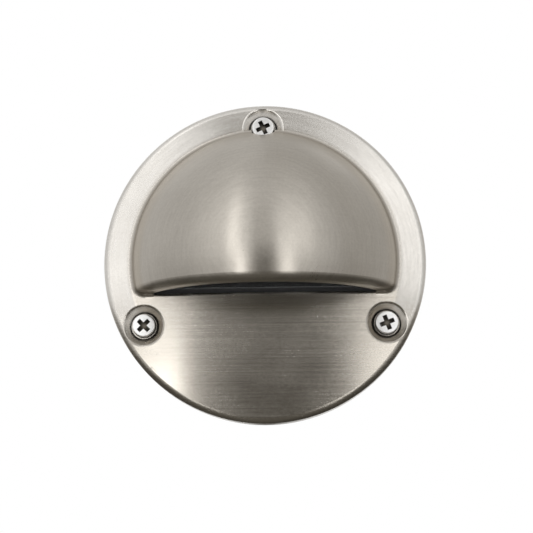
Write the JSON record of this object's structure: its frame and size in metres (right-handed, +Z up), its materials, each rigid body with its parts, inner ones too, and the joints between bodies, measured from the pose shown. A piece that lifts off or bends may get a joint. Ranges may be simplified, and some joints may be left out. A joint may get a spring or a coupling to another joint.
{
  "type": "eyelid wall light",
  "caption": "Round stainless wall light with a half-dome eyelid that hides a small capsule lamp and throws its light down through a glass window under the lip",
  "frame": {"origin": "on the wall plane, behind the centre of the round face", "axes": "+Z up the wall, +X to the viewer's right, +Y into the wall; the light stands out of the wall along -Y"},
  "size_m": [0.11, 0.039, 0.11],
  "materials": {
    "cover_steel": "satin stainless sheet, finely brushed",
    "screw_steel": "bright stainless",
    "zinc_steel": "bright zinc plate",
    "black_rubber": "matt moulded rubber",
    "seal_silicone": "dark silicone",
    "window_glass": "clear toughened glass",
    "lamp_glass": "clear quartz glass",
    "base_moulding": "black glass-filled moulding, fine grain",
    "brass": "turned brass",
    "ceramic": "unglazed steatite",
    "bright_aluminium": "bright rolled sheet",
    "ivory_plastic": "moulded nylon",
    "lead_sleeve": "braid-textured silicone sleeve",
    "lamp_wire": "drawn nickel and tungsten wire"
  },
  "bodies": {
    "base": {"base_plate": "base_moulding", "wall_gasket": "black_rubber", "cover_o_ring": "black_rubber", "threaded_inserts": "brass", "cable_grommet": "black_rubber", "lampholder_bracket": "zinc_steel", "bracket_screws": "zinc_steel", "lampholder": "ceramic", "lampholder_contacts": "brass", "lampholder_screws": "zinc_steel", "reflector": "bright_aluminium", "reflector_screws": "zinc_steel", "terminal_block": "ivory_plastic", "terminal_clamps": "brass", "terminal_screws": "zinc_steel", "terminal_fixing_screw": "zinc_steel", "lead_inner": "lead_sleeve", "lead_outer": "lead_sleeve"},
    "cover": {"front_cover": "cover_steel", "window_glass": "window_glass", "window_seal": "seal_silicone"},
    "lamp": {"lamp_envelope": "lamp_glass", "lamp_pins": "lamp_wire", "lamp_filament": "lamp_wire"},
    "seal_top": {"screw_seal_top": "black_rubber"},
    "screw_top": {"cover_screw_top": "screw_steel"},
    "seal_left": {"screw_seal_left": "black_rubber"},
    "screw_left": {"cover_screw_left": "screw_steel"},
    "seal_right": {"screw_seal_right": "black_rubber"},
    "screw_right": {"cover_screw_right": "screw_steel"}
  },
  "joints": [
    {"name": "cover_lift", "type": "slide", "parent": "base", "child": "cover", "axis": [0, -1, 0], "range_m": [0, 0.06]},
    {"name": "lamp_pull", "type": "slide", "parent": "base", "child": "lamp", "axis": [1, 0, 0], "range_m": [0, 0.009]},
    {"name": "screw_top_travel", "type": "slide", "parent": "cover", "child": "seal_top", "axis": [0, -1, 0], "range_m": [0, 0.0042]},
    {"name": "screw_top_turn", "type": "hinge", "parent": "seal_top", "child": "screw_top", "pos_m": [0, -0.0073, 0.0461], "axis": [0, -1, 0], "range_deg": [0, 2160]},
    {"name": "screw_left_travel", "type": "slide", "parent": "cover", "child": "seal_left", "axis": [0, -1, 0], "range_m": [0, 0.0042]},
    {"name": "screw_left_turn", "type": "hinge", "parent": "seal_left", "child": "screw_left", "pos_m": [-0.04063, -0.0073, -0.02178], "axis": [0, -1, 0], "range_deg": [0, 2160]},
    {"name": "screw_right_travel", "type": "slide", "parent": "cover", "child": "seal_right", "axis": [0, -1, 0], "range_m": [0, 0.0042]},
    {"name": "screw_right_turn", "type": "hinge", "parent": "seal_right", "child": "screw_right", "pos_m": [0.04063, -0.0073, -0.02178], "axis": [0, -1, 0], "range_deg": [0, 2160]}
  ],
  "couplings": [
    {"joint": "screw_top_turn", "follows": "screw_top_travel", "rad_per_m": 8976},
    {"joint": "screw_left_turn", "follows": "screw_left_travel", "rad_per_m": 8976},
    {"joint": "screw_right_turn", "follows": "screw_right_travel", "rad_per_m": 8976}
  ]
}
